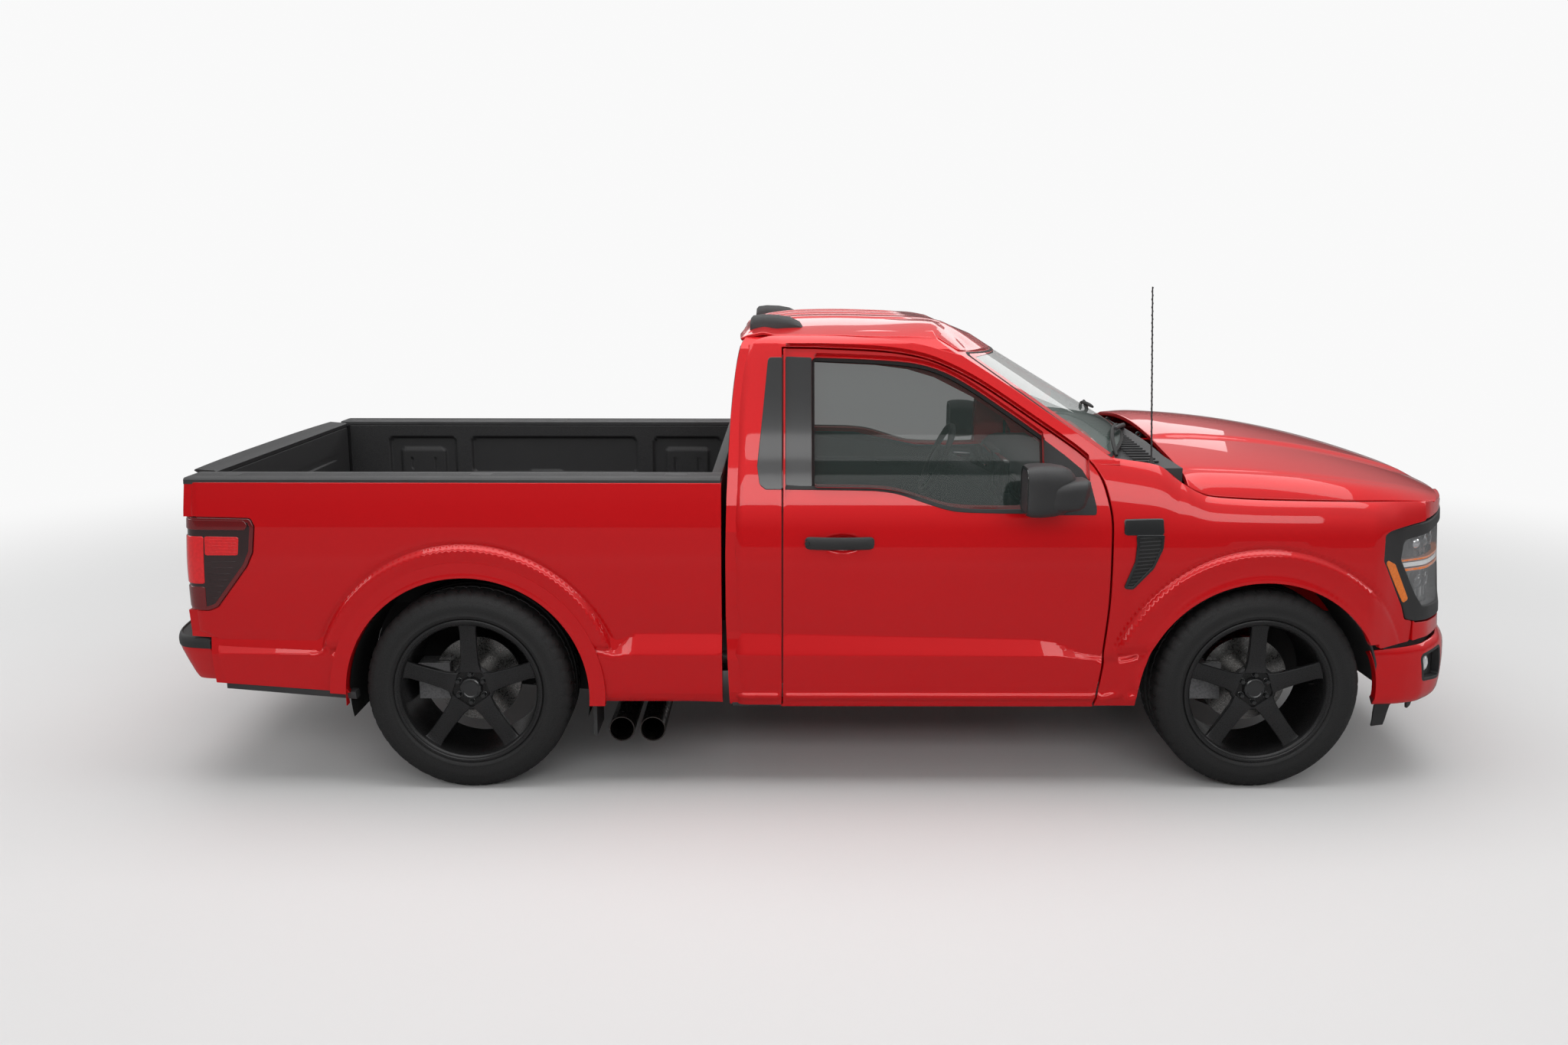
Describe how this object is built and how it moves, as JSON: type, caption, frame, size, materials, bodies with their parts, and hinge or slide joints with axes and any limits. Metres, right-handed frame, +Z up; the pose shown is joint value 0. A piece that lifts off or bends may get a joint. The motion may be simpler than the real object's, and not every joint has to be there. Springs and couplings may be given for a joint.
{
  "type": "pickup truck",
  "caption": "Lowered regular-cab pickup truck with a short load bed, opening doors, hood and tailgate, steered front wheels and all wheels rolling.",
  "frame": {"origin": "middle of the bounding box, on the floor the tyres stand on", "axes": "+X forward along the truck, +Y to the driver's (left) side, +Z up"},
  "size_m": [5.311, 2.4286, 1.9842],
  "materials": {
    "red_paint": "bright red metallic clear coat",
    "frame_black": "satin black frame paint",
    "cast_metal": "bare cast metal",
    "exhaust_steel": "stainless steel",
    "black_plastic": "grained black plastic",
    "gloss_black": "gloss black",
    "bed_liner": "sprayed black bed liner",
    "glass": "light green tint",
    "side_glass": "tinted",
    "lamp_clear": "clear lamp lens",
    "lamp_red": "red and smoked lamp lens",
    "seat_cloth": "dark grey cloth",
    "cabin_plastic": "dark grained cabin plastic",
    "wheel_black": "satin black",
    "tyre_rubber": "black rubber",
    "disc_steel": "machined disc steel"
  },
  "bodies": {
    "truck_body": {"chassis_frame": "frame_black", "powertrain": "cast_metal", "rear_axle": "cast_metal", "front_suspension": "frame_black", "exhaust": "exhaust_steel", "fuel_tank": "black_plastic", "cab_shell": "red_paint", "cab_glass": "glass", "cowl_panel": "black_plastic", "front_fenders": "red_paint", "grille": "gloss_black", "headlamps": "lamp_clear", "front_bumper": "red_paint", "wheel_liners": "black_plastic", "bed_floor": "bed_liner", "bed_sides": "red_paint", "bed_rails": "black_plastic", "tail_lamps": "lamp_red", "rear_bumper": "red_paint", "bench_seat": "seat_cloth", "dashboard": "cabin_plastic", "antenna": "black_plastic", "roof_pods": "gloss_black"},
    "left_door": {"door_left": "red_paint", "door_glass_left": "side_glass", "mirror_left": "black_plastic"},
    "right_door": {"door_right": "red_paint", "door_glass_right": "side_glass", "mirror_right": "black_plastic"},
    "hood": {"hood": "red_paint"},
    "tailgate": {"tailgate": "red_paint", "tailgate_spoiler": "black_plastic"},
    "steering_wheel": {"steering_wheel": "cabin_plastic"},
    "left_knuckle": {"knuckle_left": "cast_metal"},
    "right_knuckle": {"knuckle_right": "cast_metal"},
    "front_left_wheel": {"wheel_front_left": "wheel_black", "tyre_front_left": "tyre_rubber", "disc_front_left": "disc_steel"},
    "front_right_wheel": {"wheel_front_right": "wheel_black", "tyre_front_right": "tyre_rubber", "disc_front_right": "disc_steel"},
    "rear_left_wheel": {"wheel_rear_left": "wheel_black", "tyre_rear_left": "tyre_rubber", "disc_rear_left": "disc_steel"},
    "rear_right_wheel": {"wheel_rear_right": "wheel_black", "tyre_rear_right": "tyre_rubber", "disc_rear_right": "disc_steel"}
  },
  "joints": [
    {"name": "steer_left", "type": "hinge", "parent": "truck_body", "child": "left_knuckle", "pos_m": [1.7005, 0.7625, 0.4075], "axis": [0, 0, 1], "range_deg": [-30, 30]},
    {"name": "steer_right", "type": "hinge", "parent": "truck_body", "child": "right_knuckle", "pos_m": [1.7005, -0.7625, 0.4075], "axis": [0, 0, 1], "range_deg": [-30, 30]},
    {"name": "steering_wheel_turn", "type": "hinge", "parent": "truck_body", "child": "steering_wheel", "pos_m": [0.5705, 0.37, 1.13], "axis": [-0.9135, 0, 0.4067], "range_deg": [-480, 480]},
    {"name": "front_left_roll", "type": "hinge", "parent": "left_knuckle", "child": "front_left_wheel", "pos_m": [1.7005, 0.8585, 0.4075], "axis": [0, 1, 0], "continuous": true},
    {"name": "front_right_roll", "type": "hinge", "parent": "right_knuckle", "child": "front_right_wheel", "pos_m": [1.7005, -0.8585, 0.4075], "axis": [0, 1, 0], "continuous": true},
    {"name": "rear_left_roll", "type": "hinge", "parent": "truck_body", "child": "rear_left_wheel", "pos_m": [-1.4185, 0.8675, 0.4075], "axis": [0, 1, 0], "continuous": true},
    {"name": "rear_right_roll", "type": "hinge", "parent": "truck_body", "child": "rear_right_wheel", "pos_m": [-1.4185, -0.8675, 0.4075], "axis": [0, 1, 0], "continuous": true},
    {"name": "left_door_hinge", "type": "hinge", "parent": "truck_body", "child": "left_door", "pos_m": [1.0155, 0.9745, 0.7], "axis": [0, 0, -1], "range_deg": [0, 65]},
    {"name": "right_door_hinge", "type": "hinge", "parent": "truck_body", "child": "right_door", "pos_m": [1.0155, -0.9745, 0.7], "axis": [0, 0, 1], "range_deg": [0, 65]},
    {"name": "hood_hinge", "type": "hinge", "parent": "truck_body", "child": "hood", "pos_m": [1.3705, 0, 1.335], "axis": [0, -1, 0], "range_deg": [0, 50]},
    {"name": "tailgate_hinge", "type": "hinge", "parent": "truck_body", "child": "tailgate", "pos_m": [-2.4605, 0, 0.725], "axis": [0, -1, 0], "range_deg": [0, 90]}
  ],
  "couplings": [
    {"joint": "steer_right", "follows": "steer_left", "ratio": 1},
    {"joint": "steering_wheel_turn", "follows": "steer_left", "ratio": 16}
  ]
}
